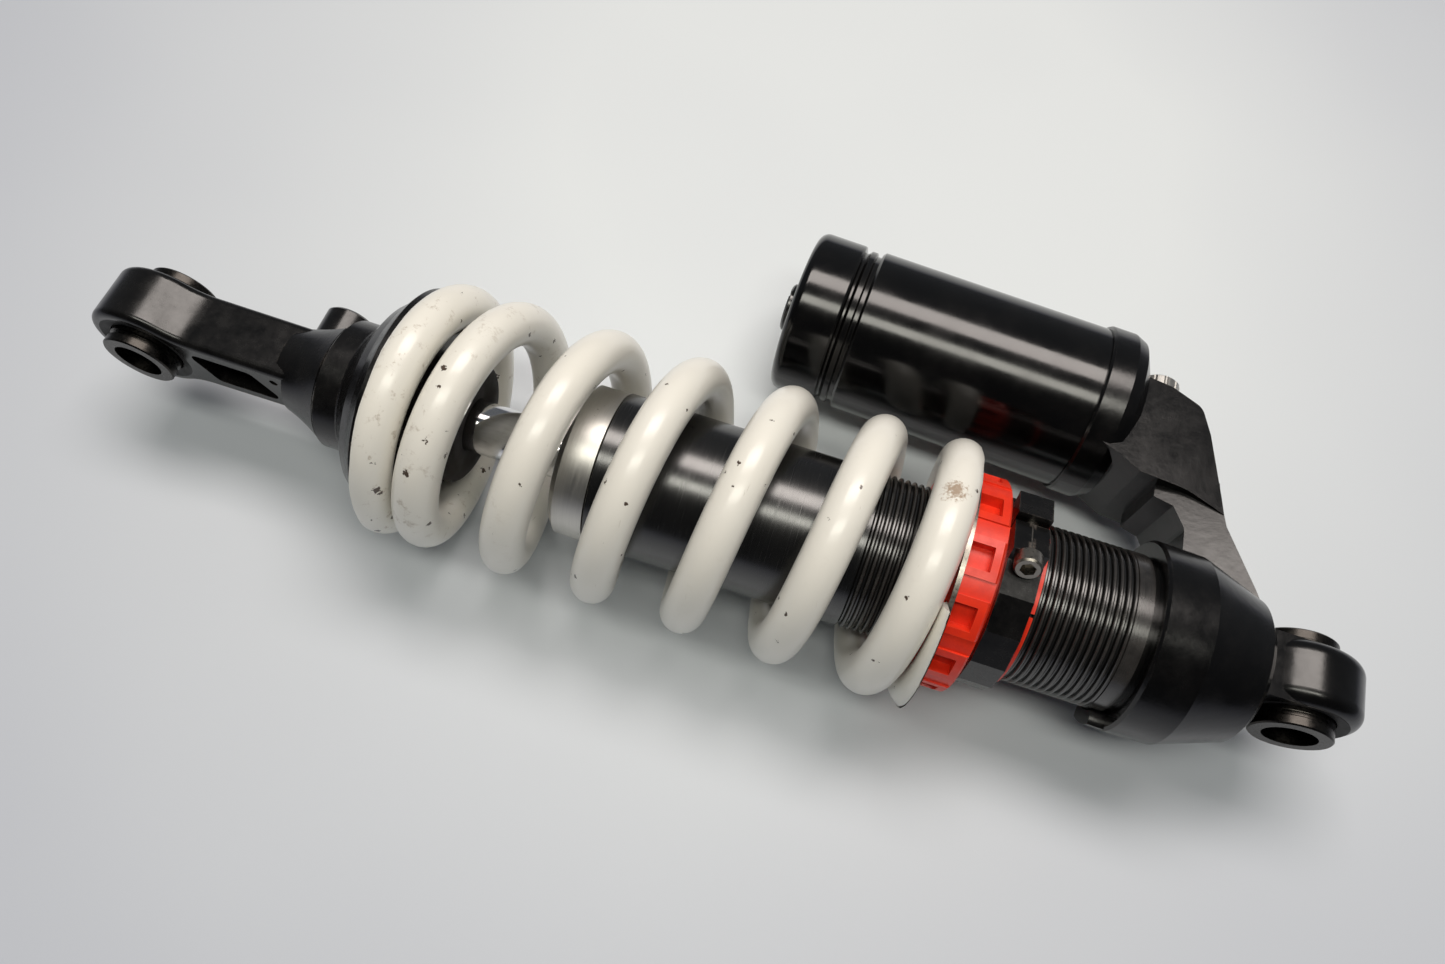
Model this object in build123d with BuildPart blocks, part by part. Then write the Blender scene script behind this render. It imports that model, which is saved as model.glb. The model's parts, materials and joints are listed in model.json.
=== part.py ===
"""Coil-over rear shock absorber with a piggyback reservoir, lying on its side.

+X runs along the damper from the rod eye to the head eye, +Y along the eye bolts, +Z up.
The origin is the centre of the head eye, and every length is in millimetres.
"""
from build123d import *
from math import atan2, cos, degrees, radians, sin, sqrt
import os

# Driving dimensions of the whole shock
EYE_TO_EYE = 350.0
BOLT_RADIUS = 7.0
EYE_WIDTH = 28.0
ROD_RADIUS = 8.0
TUBE_RADIUS = 23.2
TUBE_BORE = 20.0
WIRE_RADIUS = 6.4
COIL_RADIUS = 33.2
RESERVOIR_RADIUS = 27.0
FIT = 0.05

# Stations along the damper axis, from the rod eye to the head eye
ROD_EYE_X = -EYE_TO_EYE
KNOB_X = -296.6
DISC_START_X = -288.0
DISC_END_X = -280.0
SPIGOT_END_X = -271.5
SPRING_LEFT_X = -264.5
BUMP_FACE_X = -246.5
SEAL_HEAD_X = -214.8
TUBE_START_X = -203.5
GUIDE_END_X = -188.0
ROD_SHOULDER_X = -180.5
PISTON_X = -178.0
THREAD_START_X = -126.0
SPRING_RIGHT_X = -102.6
RING_END_X = -92.4
COLLAR_START_X = -90.6
COLLAR_END_X = -81.2
SLEEVE_END_X = -79.6
THREAD_END_X = -55.0
HEAD_START_X = -48.5
HEAD_CONE_X = -35.0
HEAD_END_X = -13.0

# The reservoir lies beside the damper and its cap end leans outwards
RESERVOIR_START = Vector(-60.0, 76.8, -12.5)
RESERVOIR_LEAN = 2.9
RESERVOIR_BORE = 24.5
SOCKET_LENGTH = 10.0
RESERVOIR_TUBE_END = 91.0
CAP_END = 108.0

# Eyes
BARREL_RADIUS = 17.0
BARREL_HALF_WIDTH = 9.4
COLLAR_RADIUS = 10.6
RACE_RADIUS = 14.0
RACE_HALF_WIDTH = 6.4
BALL_RADIUS = 11.6
BALL_BORE = 8.6
BALL_HALF_WIDTH = 7.2

SHOCK = Plane.XY
lean = radians(RESERVOIR_LEAN)
RESERVOIR = Plane(origin=RESERVOIR_START, x_dir=(-cos(lean), sin(lean), 0), z_dir=(0, 0, 1))

os.makedirs("parts", exist_ok=True)


def finish(piece, name):
    """Label a finished piece and write it as its own STEP file."""
    piece.part.label = name
    export_step(piece.part, f"parts/{name}.step")


def turned(points, plane=SHOCK, mode=Mode.ADD):
    """Turn a closed outline about the plane's own x axis; each point is (distance along, radius)."""
    with BuildSketch(plane) as outline:
        with BuildLine():
            Polyline(*points, close=True)
        make_face()
    revolve(outline.sketch, axis=Axis(plane.origin, plane.x_dir), mode=mode)


def tube_between(start, end, outer, inner, plane=SHOCK, mode=Mode.ADD):
    """Turn a plain sleeve, ring or disc; an inner radius of 0 makes it solid."""
    turned([(start, inner), (start, outer), (end, outer), (end, inner)], plane, mode)


def drill(start, end, radius, mode=Mode.SUBTRACT):
    """Drill a round hole from one point to another, or add a round peg with Mode.ADD."""
    way = Vector(*end) - Vector(*start)
    with BuildSketch(Plane(origin=start, z_dir=way)) as mouth:
        Circle(radius)
    extrude(mouth.sketch, amount=way.length, mode=mode)


def o_ring(position, ring_radius, section_radius, plane=SHOCK):
    """Turn an o-ring of round section about the plane's x axis."""
    with BuildSketch(plane) as section:
        with Locations((position, ring_radius)):
            Circle(section_radius)
    revolve(section.sketch, axis=Axis(plane.origin, plane.x_dir))


def eye_plane(x):
    """A plane whose x axis is the eye bolt's axis through the eye at x."""
    return Plane(origin=(x, 0, 0), x_dir=(0, 1, 0), z_dir=(0, 0, 1))


def eye_barrel(x, rounding):
    """Barrel of the eye at x, its two rims rounded."""
    plane = eye_plane(x)
    with BuildSketch(plane) as half:
        with Locations((0, BARREL_RADIUS / 2)):
            Rectangle(2 * BARREL_HALF_WIDTH, BARREL_RADIUS)
        fillet(half.vertices().group_by(Axis.Y)[-1], radius=rounding)
    revolve(half.sketch, axis=Axis(plane.origin, plane.x_dir))


def bore_eye(x):
    """Bore an eye for its bearing race, circlips and seals, right through."""
    tube_between(-2 * EYE_WIDTH, 2 * EYE_WIDTH, RACE_RADIUS, 0, eye_plane(x), Mode.SUBTRACT)


def radial_point(radius, angle, x=0.0):
    """A point at a radius from the damper axis, its angle measured from +Y towards +Z."""
    return (x, radius * cos(radians(angle)), radius * sin(radians(angle)))


# ---------------------------------------------------------------- the rod and its eye

CLEVIS_HALF_WIDTH = BARREL_HALF_WIDTH
ARM_TOP = 12.0
EDGE_ROUNDING = 2.2
FLARE_START_X = -304.5
POCKET_DEPTH = 6.0
KNOB_RADIUS = 7.9
KNOB_START_Y = 10.2
KNOB_END_Y = 20.8
KNOB_SHAFT_RADIUS = 3.0
NEEDLE_RADIUS = 2.9
ROD_BORE = 3.0
ROD_END_X = -290.5

with BuildPart() as rod_clevis:
    # Eye and flat arm in one outline, the arm blending into the eye's barrel
    with BuildSketch(Plane.XZ.offset(-CLEVIS_HALF_WIDTH)) as arm:
        with BuildLine():
            Polyline((ROD_EYE_X, ARM_TOP), (KNOB_X, ARM_TOP - 1.0), (KNOB_X, 1.0 - ARM_TOP),
                     (ROD_EYE_X, -ARM_TOP), close=True)
        make_face()
        with Locations((ROD_EYE_X, 0)):
            Circle(BARREL_RADIUS)
        blends = [corner for corner in arm.vertices() if ROD_EYE_X + 5 < corner.X < ROD_EYE_X + 20]
        fillet(blends, radius=18.0)
    extrude(arm.sketch, amount=2 * CLEVIS_HALF_WIDTH)
    fillet(rod_clevis.faces().filter_by(Axis.Y).edges(), radius=EDGE_ROUNDING)
    # Flared root of the arm, cut flush where it begins, and all along on the knob's side
    with BuildSketch(SHOCK) as flare:
        with BuildLine():
            Polyline((DISC_START_X, 19.4), (DISC_START_X, 0), (FLARE_START_X, 0), (FLARE_START_X, 12.4))
            ThreePointArc((FLARE_START_X, 12.4), (KNOB_X, 15.0), (DISC_START_X, 19.4))
        make_face()
    revolve(flare.sketch, axis=Axis.X)
    for side, length in ((-1, 3.0), (1, DISC_START_X - FLARE_START_X)):
        with BuildSketch(Plane.YZ.offset(FLARE_START_X)) as beyond_face:
            with Locations((side * (CLEVIS_HALF_WIDTH + 5), 0)):
                Rectangle(10, 40)
        extrude(beyond_face.sketch, amount=length, mode=Mode.SUBTRACT)
    # The disc behind the spring seat and the spigot that centres the seat
    turned([(DISC_START_X, 0), (DISC_START_X, 19.2), (DISC_START_X + 0.8, 20.0), (DISC_END_X, 20.0),
            (DISC_END_X, 14.0), (SPIGOT_END_X, 14.0), (SPIGOT_END_X, 0)])
    drill((KNOB_X, 0, 0), (KNOB_X, KNOB_START_Y - 0.2, 0), KNOB_RADIUS + 0.4, Mode.ADD)
    # Lightening pocket and two dimples in each face
    for side in (-1, 1):
        with BuildSketch(Plane.XZ.offset(side * CLEVIS_HALF_WIDTH)) as pocket:
            with BuildLine():
                Polyline((ROD_EYE_X + 16, 6.4), (ROD_EYE_X + 37, 6.4),
                         (ROD_EYE_X + 44, -6.4), (ROD_EYE_X + 22, -6.4), close=True)
            make_face()
            fillet(pocket.vertices(), radius=2.4)
        extrude(pocket.sketch, amount=-side * POCKET_DEPTH, mode=Mode.SUBTRACT)
        for height in (5.4, -6.8):
            drill((FLARE_START_X - 1, side * 10, height),
                  (FLARE_START_X - 1, side * (CLEVIS_HALF_WIDTH - 0.7), height), 1.3)
    bore_eye(ROD_EYE_X)
    tube_between(ROD_END_X - 0.02, 0, ROD_RADIUS + 0.01, 0, mode=Mode.SUBTRACT)
    tube_between(KNOB_X, ROD_END_X, NEEDLE_RADIUS + FIT, 0, mode=Mode.SUBTRACT)
    drill((KNOB_X, 12, 0), (KNOB_X, -4.5, 0), KNOB_SHAFT_RADIUS + FIT)
    drill((KNOB_X, 24, 0), (KNOB_X, KNOB_START_Y - 0.2, 0), KNOB_RADIUS + 0.4)
finish(rod_clevis, "rod_clevis")

with BuildPart() as piston_rod:
    turned([(ROD_END_X, ROD_BORE), (ROD_END_X, ROD_RADIUS - 1), (ROD_END_X + 1, ROD_RADIUS),
            (ROD_SHOULDER_X, ROD_RADIUS), (ROD_SHOULDER_X, 6.0), (-149.0, 6.0), (-148.0, 5.0),
            (-148.0, ROD_BORE)])
    for turn in range(2):
        drill(radial_point(-9, 90 * turn, -185.0), radial_point(9, 90 * turn, -185.0), 1.5)
finish(piston_rod, "piston_rod")

with BuildPart() as rebound_needle:
    turned([(KNOB_X + 3.3, 0), (KNOB_X + 3.3, 2.0), (KNOB_X + 4.3, NEEDLE_RADIUS), (-188.0, NEEDLE_RADIUS),
            (-184.0, 0.8), (-183.0, 0)])
finish(rebound_needle, "rebound_needle")

with BuildPart() as rebound_cam_shaft:
    drill((KNOB_X, 10.2, 0), (KNOB_X, -4.0, 0), KNOB_SHAFT_RADIUS, Mode.ADD)
finish(rebound_cam_shaft, "rebound_cam_shaft")

with BuildPart() as rebound_knob:
    knob_plane = eye_plane(KNOB_X)
    turned([(KNOB_START_Y, 0), (KNOB_START_Y, KNOB_RADIUS), (KNOB_END_Y - 0.8, KNOB_RADIUS),
            (KNOB_END_Y, KNOB_RADIUS - 0.8), (KNOB_END_Y, 5.0), (KNOB_END_Y - 0.8, 4.4),
            (KNOB_END_Y - 0.8, 0)], knob_plane)
    with BuildSketch(Plane(origin=(KNOB_X, KNOB_END_Y, 0), z_dir=(0, 1, 0))) as slot:
        Rectangle(8.4, 1.5)
    extrude(slot.sketch, amount=-2.4, mode=Mode.SUBTRACT)
finish(rebound_knob, "rebound_knob")

SEAT_RADIUS = 36.0
SEAT_HUB_RADIUS = 26.2
with BuildPart() as spring_seat:
    turned([(DISC_END_X, 14.0 + FIT), (DISC_END_X, 20.4), (DISC_END_X + 0.8, 21.0), (-273.0, 29.5),
            (-270.0, 32.0), (SPRING_LEFT_X - 2.6, SEAT_RADIUS - 0.6), (SPRING_LEFT_X - 2.0, SEAT_RADIUS),
            (SPRING_LEFT_X, SEAT_RADIUS), (SPRING_LEFT_X, SEAT_HUB_RADIUS),
            (SPRING_LEFT_X + 6.5, SEAT_HUB_RADIUS - 0.3), (SPRING_LEFT_X + 7.2, SEAT_HUB_RADIUS - 1.2),
            (SPRING_LEFT_X + 7.2, 20.5), (SPIGOT_END_X, 20.0), (SPIGOT_END_X, 14.0 + FIT)])
finish(spring_seat, "spring_seat")

BUMP_RADIUS = 18.5
with BuildPart() as bump_stop:
    turned([(SPIGOT_END_X, ROD_RADIUS + 0.3), (SPIGOT_END_X, BUMP_RADIUS), (-263.0, BUMP_RADIUS),
            (-261.0, BUMP_RADIUS - 1.8), (-258.5, BUMP_RADIUS - 1.8), (-256.5, BUMP_RADIUS),
            (BUMP_FACE_X - 1.2, BUMP_RADIUS), (BUMP_FACE_X, BUMP_RADIUS - 1.2),
            (BUMP_FACE_X, ROD_RADIUS + 0.3)])
finish(bump_stop, "bump_stop")

# ---------------------------------------------------------------- the piston assembly

BUMPER_END_X = -182.6
SHIM_THICKNESS = 0.4
SHIM_GAP = 0.06
SHIM_BORE = 6.0 + 0.02
PISTON_END_X = PISTON_X + 16.0

with BuildPart() as top_out_bumper:
    tube_between(GUIDE_END_X + 0.4, BUMPER_END_X, 12.5, ROD_RADIUS)
finish(top_out_bumper, "top_out_bumper")

with BuildPart() as top_out_plate:
    tube_between(BUMPER_END_X, ROD_SHOULDER_X, 13.0, ROD_RADIUS + 0.01)
finish(top_out_plate, "top_out_plate")


def shim_stack(base_x, way, radii):
    """Thin spring-steel discs, one on the next, away from the piston face."""
    for index, radius in enumerate(radii):
        near = base_x + way * (SHIM_GAP + index * (SHIM_THICKNESS + SHIM_GAP))
        tube_between(near, near + way * SHIM_THICKNESS, radius, SHIM_BORE)


with BuildPart() as compression_shims:
    shim_stack(PISTON_X, -1, (16.0, 16.0, 14.0, 12.0, 10.0))
finish(compression_shims, "compression_shims")

with BuildPart() as rebound_shims:
    shim_stack(PISTON_END_X, 1, (15.0, 15.0, 13.0, 11.0, 9.5))
finish(rebound_shims, "rebound_shims")

BAND_DEPTH = 1.0
with BuildPart() as main_piston:
    turned([(PISTON_X, SHIM_BORE), (PISTON_X, 18.6), (PISTON_X + 1, 19.6), (PISTON_X + 3, 19.6),
            (PISTON_X + 3, 19.6 - BAND_DEPTH), (PISTON_X + 13, 19.6 - BAND_DEPTH), (PISTON_X + 13, 19.6),
            (PISTON_END_X - 1, 19.6), (PISTON_END_X, 18.6), (PISTON_END_X, SHIM_BORE)])
    with BuildSketch(Plane.YZ.offset(PISTON_X)) as ports:
        with PolarLocations(12.8, 8):
            Circle(2.0)
    extrude(ports.sketch, amount=PISTON_END_X - PISTON_X, mode=Mode.SUBTRACT)
finish(main_piston, "main_piston")

with BuildPart() as piston_band:
    tube_between(PISTON_X + 3.1, PISTON_X + 12.9, TUBE_BORE - FIT, 19.6 - BAND_DEPTH)
finish(piston_band, "piston_band")

with BuildPart() as piston_nut:
    with BuildSketch(Plane.YZ.offset(PISTON_END_X + 2.6)):
        RegularPolygon(radius=8.5, side_count=6, major_radius=False)
        Circle(6.0, mode=Mode.SUBTRACT)
    extrude(amount=8.0)
finish(piston_nut, "piston_nut")

# ---------------------------------------------------------------- the damper body

THREAD_PITCH = 2.0
THREAD_DEPTH = 1.0
SPIGOT_RADIUS = 22.4
TUBE_END_X = -38.6


def thread_outline():
    """Half-section of the threaded tube: one rounded ridge for each pitch of the preload thread."""
    root = TUBE_RADIUS - THREAD_DEPTH
    outline = [(TUBE_START_X, TUBE_BORE), (TUBE_START_X, TUBE_RADIUS - 0.6),
               (TUBE_START_X + 0.6, TUBE_RADIUS), (THREAD_START_X - 0.6, TUBE_RADIUS)]
    ridges = round((THREAD_END_X - THREAD_START_X) / THREAD_PITCH)
    for ridge in range(ridges):
        x = THREAD_START_X + ridge * THREAD_PITCH
        outline += [(x, root), (x + 0.4, root), (x + 0.75, TUBE_RADIUS - 0.25), (x + 1.0, TUBE_RADIUS),
                    (x + 1.4, TUBE_RADIUS), (x + 1.65, TUBE_RADIUS - 0.25)]
    outline += [(THREAD_END_X, root), (THREAD_END_X + 0.4, root), (THREAD_END_X + 0.8, TUBE_RADIUS),
                (-50.0, TUBE_RADIUS), (-49.6, SPIGOT_RADIUS), (TUBE_END_X, SPIGOT_RADIUS),
                (TUBE_END_X, TUBE_BORE)]
    return outline


with BuildPart() as damper_tube:
    turned(thread_outline())
finish(damper_tube, "damper_tube")

SEAL_BORE = 12.4
GUIDE_BORE = 9.6
HEAD_SPIGOT = TUBE_BORE - 0.02
with BuildPart() as seal_head:
    turned([(SEAL_HEAD_X, SEAL_BORE), (SEAL_HEAD_X, 19.0), (SEAL_HEAD_X + 0.6, 20.6),
            (SEAL_HEAD_X + 2.4, TUBE_RADIUS - 0.3), (TUBE_START_X, TUBE_RADIUS - 0.3),
            (TUBE_START_X, HEAD_SPIGOT), (-198.2, HEAD_SPIGOT), (-198.2, 18.2), (-195.4, 18.2),
            (-195.4, HEAD_SPIGOT), (GUIDE_END_X, HEAD_SPIGOT), (GUIDE_END_X, GUIDE_BORE),
            (-201.5, GUIDE_BORE), (-201.5, SEAL_BORE), (-208.5, SEAL_BORE), (-208.5, 11.4), (-209.7, 11.4),
            (-209.7, SEAL_BORE)])
finish(seal_head, "seal_head")

with BuildPart() as rod_wiper:
    turned([(SEAL_HEAD_X + 0.6, ROD_RADIUS + FIT), (SEAL_HEAD_X - 1.0, ROD_RADIUS + 1.0),
            (SEAL_HEAD_X - 0.4, ROD_RADIUS + 2.4), (SEAL_HEAD_X - 0.1, SEAL_BORE - 0.02),
            (-209.8, SEAL_BORE - 0.02), (-209.8, ROD_RADIUS + FIT)])
finish(rod_wiper, "rod_wiper")

with BuildPart() as rod_seal:
    turned([(-208.4, ROD_RADIUS + FIT), (-208.4, SEAL_BORE), (-201.6, SEAL_BORE), (-201.6, ROD_RADIUS + 1.8),
            (-205.0, ROD_RADIUS + 1.8), (-206.0, ROD_RADIUS + FIT)])
finish(rod_seal, "rod_seal")

with BuildPart() as rod_guide_bush:
    tube_between(-200.0, GUIDE_END_X, GUIDE_BORE, ROD_RADIUS + FIT)
finish(rod_guide_bush, "rod_guide_bush")

with BuildPart() as seal_head_o_ring:
    o_ring(-196.8, 19.05, 0.85)
finish(seal_head_o_ring, "seal_head_o_ring")

# ---------------------------------------------------------------- the cast head, bridge and socket

HEAD_RADIUS = 28.0
NECK_HALF_WIDTH = 9.4
NECK_HALF_HEIGHT = 13.6
BRIDGE_TOP = 6.0
BRIDGE_BOTTOM = -27.0
WEB_RIM = Vector(-24.0, 0, 6.2)
WEB_SLOPE = 10.0
SOCKET_RADIUS = 28.2
HEAD_EYE_ROUNDING = 4.2
ADJUSTER = Vector(-45.5, 84.2, -11.0)

with BuildPart() as head_casting:
    # Web that rises from the head to the bridge, its top sloping down towards the gap
    with BuildSketch(Plane.XY.offset(BRIDGE_BOTTOM + 5)) as web:
        with BuildLine():
            Polyline((-46.5, 54), (-46.5, 44.9), (-40.8, 43.1), (-37, 36.3), (-36.6, 28), (-36.6, 0),
                     (-15, 0), (-15, 19), (-16.6, 22.4), (-25.8, 40), (-28.3, 49), (-29, 54), close=True)
        make_face()
        fillet(web.vertices().group_by(Axis.Y)[2:5], radius=4.0)
    extrude(web.sketch, amount=40)
    web_top = Plane(origin=WEB_RIM, z_dir=(-sin(radians(WEB_SLOPE)), 0, cos(radians(WEB_SLOPE))))
    split(bisect_by=web_top, keep=Keep.BOTTOM)
    turned([(HEAD_START_X, 0), (HEAD_START_X, HEAD_RADIUS - 0.8), (HEAD_START_X + 0.8, HEAD_RADIUS),
            (HEAD_CONE_X, HEAD_RADIUS - 0.4), (-17.0, 21.0), (-15.0, 18.5), (HEAD_END_X, 14.0),
            (HEAD_END_X, 0)])
    # Neck and eye
    with BuildSketch(Plane.XZ.offset(-NECK_HALF_WIDTH)) as neck:
        with Locations((-9, 0)):
            Rectangle(18, 2 * NECK_HALF_HEIGHT)
    extrude(neck.sketch, amount=2 * NECK_HALF_WIDTH)
    eye_barrel(0, HEAD_EYE_ROUNDING)
    # Bridge block that carries the oil across to the reservoir
    with BuildSketch(Plane.XY.offset(BRIDGE_BOTTOM)) as bridge:
        with BuildLine():
            Polyline((-66, 56), (-66, 84), (-57.5, 84), (-47, 82.4), (-37.2, 78.1), (-33.7, 69.3),
                     (-28.3, 49), (-27.0, 43.6), (-38.4, 48.2), (-52.8, 49.6), (-59.2, 53.2), close=True)
        make_face()
        fillet(bridge.vertices().sort_by_distance((-37.2, 78.1, BRIDGE_BOTTOM))[0], radius=5.0)
        fillet(bridge.vertices().sort_by_distance((-38.4, 48.2, BRIDGE_BOTTOM))[0], radius=20.0)
    extrude(bridge.sketch, amount=BRIDGE_TOP - BRIDGE_BOTTOM)
    # Socket that the reservoir tube screws into
    turned([(SOCKET_LENGTH, 0), (SOCKET_LENGTH, SOCKET_RADIUS - 0.5), (SOCKET_LENGTH - 0.8, SOCKET_RADIUS),
            (2, SOCKET_RADIUS), (-1.5, SOCKET_RADIUS - 1.5), (-5, SOCKET_RADIUS - 8), (-5, 0)], RESERVOIR)
    # Raised boss at the rim of the tube socket
    with BuildSketch(Plane.YZ.offset(HEAD_START_X - 4.2)) as rim_boss:
        Circle(HEAD_RADIUS - 0.3)
        Circle(TUBE_RADIUS + 0.5, mode=Mode.SUBTRACT)
        with Locations((-24.0, -10.0)):
            Circle(6.5, mode=Mode.INTERSECT)
    extrude(rim_boss.sketch, amount=6)
    # Compression valve boss
    drill((ADJUSTER.X, ADJUSTER.Y - 14, ADJUSTER.Z), tuple(ADJUSTER), 10.0, Mode.ADD)
    # Bores
    tube_between(-60, TUBE_END_X + 0.05, SPIGOT_RADIUS + 0.02, 0, mode=Mode.SUBTRACT)
    tube_between(-60, -33, 15.0, 0, mode=Mode.SUBTRACT)
    tube_between(2.95, 60, RESERVOIR_RADIUS + 0.02, 0, RESERVOIR, Mode.SUBTRACT)
    tube_between(0.5, 4, 20.0, 0, RESERVOIR, Mode.SUBTRACT)
    drill((ADJUSTER.X, ADJUSTER.Y + 2, ADJUSTER.Z), (ADJUSTER.X, ADJUSTER.Y - 20, ADJUSTER.Z), 5.0)
    drill((-34.5, 8, -9), (-29.0, 45.0, -11), 2.5)
    drill((-29.0, 45.0, -11), (ADJUSTER.X, ADJUSTER.Y - 18, ADJUSTER.Z), 2.5)
    drill((ADJUSTER.X, ADJUSTER.Y - 12, ADJUSTER.Z), (-62, ADJUSTER.Y - 12, ADJUSTER.Z), 3.0)
    bore_eye(0)
finish(head_casting, "head_casting")

# ---------------------------------------------------------------- the reservoir

GROOVE_RADIUS = RESERVOIR_RADIUS - 2.0
with BuildPart() as reservoir_tube:
    turned([(3.0, RESERVOIR_BORE), (3.0, RESERVOIR_RADIUS), (85.6, RESERVOIR_RADIUS),
            (86.4, RESERVOIR_RADIUS - 0.8), (86.6, GROOVE_RADIUS), (87.8, GROOVE_RADIUS),
            (88.0, RESERVOIR_RADIUS - 1.3), (88.4, RESERVOIR_RADIUS - 0.9), (90.0, RESERVOIR_RADIUS - 0.9),
            (90.4, RESERVOIR_RADIUS - 1.3), (RESERVOIR_TUBE_END, GROOVE_RADIUS),
            (RESERVOIR_TUBE_END, RESERVOIR_BORE)], RESERVOIR)
finish(reservoir_tube, "reservoir_tube")

PLUG_RADIUS = 5.0
CAP_SPIGOT = RESERVOIR_BORE - 0.02
with BuildPart() as reservoir_end_cap:
    turned([(79.0, PLUG_RADIUS), (79.0, CAP_SPIGOT), (83.0, CAP_SPIGOT), (83.0, CAP_SPIGOT - 2.0),
            (86.0, CAP_SPIGOT - 2.0), (86.0, CAP_SPIGOT), (RESERVOIR_TUBE_END, CAP_SPIGOT),
            (RESERVOIR_TUBE_END, GROOVE_RADIUS), (RESERVOIR_TUBE_END + 0.6, GROOVE_RADIUS),
            (RESERVOIR_TUBE_END + 1.2, RESERVOIR_RADIUS - 0.3), (RESERVOIR_TUBE_END + 1.8, RESERVOIR_RADIUS),
            (CAP_END, RESERVOIR_RADIUS), (CAP_END, 19.0), (CAP_END - 1.0, 18.0), (CAP_END - 1.0, 12.5),
            (CAP_END + 1.4, 11.5), (CAP_END + 1.4, PLUG_RADIUS)], RESERVOIR)
    outer_rims = reservoir_end_cap.edges().filter_by(GeomType.CIRCLE).group_by(SortBy.RADIUS)[-1]
    fillet(outer_rims.sort_by(Axis.X)[0], radius=3.2)
finish(reservoir_end_cap, "reservoir_end_cap")

with BuildPart() as end_cap_o_ring:
    o_ring(84.5, RESERVOIR_BORE - 1.05, 0.95, RESERVOIR)
finish(end_cap_o_ring, "end_cap_o_ring")

with BuildPart() as gas_fill_plug:
    turned([(CAP_END - 10, 0), (CAP_END - 10, PLUG_RADIUS - 0.02), (CAP_END + 1.4, PLUG_RADIUS - 0.02),
            (CAP_END + 1.4, 8.0), (CAP_END + 2.6, 8.0), (CAP_END + 3.2, 7.4), (CAP_END + 3.2, 0)],
           RESERVOIR)
    plug_face = RESERVOIR.from_local_coords(Vector(CAP_END + 3.2, 0, 0))
    with BuildSketch(Plane(origin=plug_face, z_dir=RESERVOIR.x_dir)) as slot:
        Rectangle(2.0, 17.0)
    extrude(slot.sketch, amount=-1.6, mode=Mode.SUBTRACT)
finish(gas_fill_plug, "gas_fill_plug")

FLOAT_START = 22.0
FLOAT_END = 38.0
with BuildPart() as floating_piston:
    turned([(FLOAT_START, 0), (FLOAT_START, 23.4), (FLOAT_START + 0.8, 24.2), (25.0, 24.2), (25.0, 22.8),
            (28.0, 22.8), (28.0, 24.2), (30.0, 24.2), (30.0, 23.2), (35.0, 23.2), (35.0, 24.2),
            (FLOAT_END, 24.2), (FLOAT_END, 18.5), (FLOAT_START + 5, 17.0), (FLOAT_START + 5, 0)], RESERVOIR)
finish(floating_piston, "floating_piston")

with BuildPart() as floating_piston_o_ring:
    o_ring(26.5, 23.6, 0.8, RESERVOIR)
finish(floating_piston_o_ring, "floating_piston_o_ring")

with BuildPart() as floating_piston_band:
    tube_between(30.1, 34.9, RESERVOIR_BORE - FIT, 23.2, RESERVOIR)
finish(floating_piston_band, "floating_piston_band")

# ---------------------------------------------------------------- the compression adjuster

ADJUSTER_FRONT = Plane(origin=tuple(ADJUSTER), z_dir=(0, 1, 0))
ADJUSTER_AXIS = Plane(origin=tuple(ADJUSTER), x_dir=(0, 1, 0), z_dir=(0, 0, 1))
DIAL_START = 5.2

with BuildPart() as compression_housing:
    with BuildSketch(ADJUSTER_FRONT):
        RegularPolygon(radius=7.2, side_count=6, major_radius=False)
    extrude(amount=4.8)
    tube_between(-15, 0, 5.0 - 0.02, 0, ADJUSTER_AXIS)
    tube_between(-15, 6, 2.5 + FIT, 0, ADJUSTER_AXIS, Mode.SUBTRACT)
finish(compression_housing, "compression_housing")

with BuildPart() as compression_dial:
    turned([(DIAL_START, 0), (DIAL_START, 6.6), (DIAL_START + 4.2, 6.6), (DIAL_START + 5.0, 5.8),
            (DIAL_START + 5.0, 0)], ADJUSTER_AXIS)
    with BuildSketch(ADJUSTER_FRONT.offset(DIAL_START + 5.0)) as slot:
        Rectangle(1.5, 9.0)
    extrude(slot.sketch, amount=-1.8, mode=Mode.SUBTRACT)
    with BuildSketch(ADJUSTER_FRONT.offset(DIAL_START)) as grips:
        with PolarLocations(6.9, 12):
            Circle(0.8)
    extrude(grips.sketch, amount=5.0, mode=Mode.SUBTRACT)
finish(compression_dial, "compression_dial")

with BuildPart() as compression_needle:
    turned([(DIAL_START, 0), (DIAL_START, 2.5), (-12, 2.5), (-16.5, 0.6), (-16.5, 0)], ADJUSTER_AXIS)
finish(compression_needle, "compression_needle")

# ---------------------------------------------------------------- the spring and its preload ring

# Pitch of the spring in millimetres a turn, against turns from the head end
PITCH_PLAN = ((0.1, 11.4), (0.7, 11.4), (1.5, 27.5), (5.9, 27.5), (6.5, 12.9), (7.75, 12.9))
WIRE_START_X = -97.8
STEPS_PER_TURN = 120
POINTS_PER_TURN = 12


def pitch_at(turns):
    """Pitch of the wire after this many turns, in straight steps between the planned values."""
    for (start, start_pitch), (end, end_pitch) in zip(PITCH_PLAN, PITCH_PLAN[1:]):
        if turns <= end:
            return start_pitch + (end_pitch - start_pitch) * (turns - start) / (end - start)
    return PITCH_PLAN[-1][1]


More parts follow.
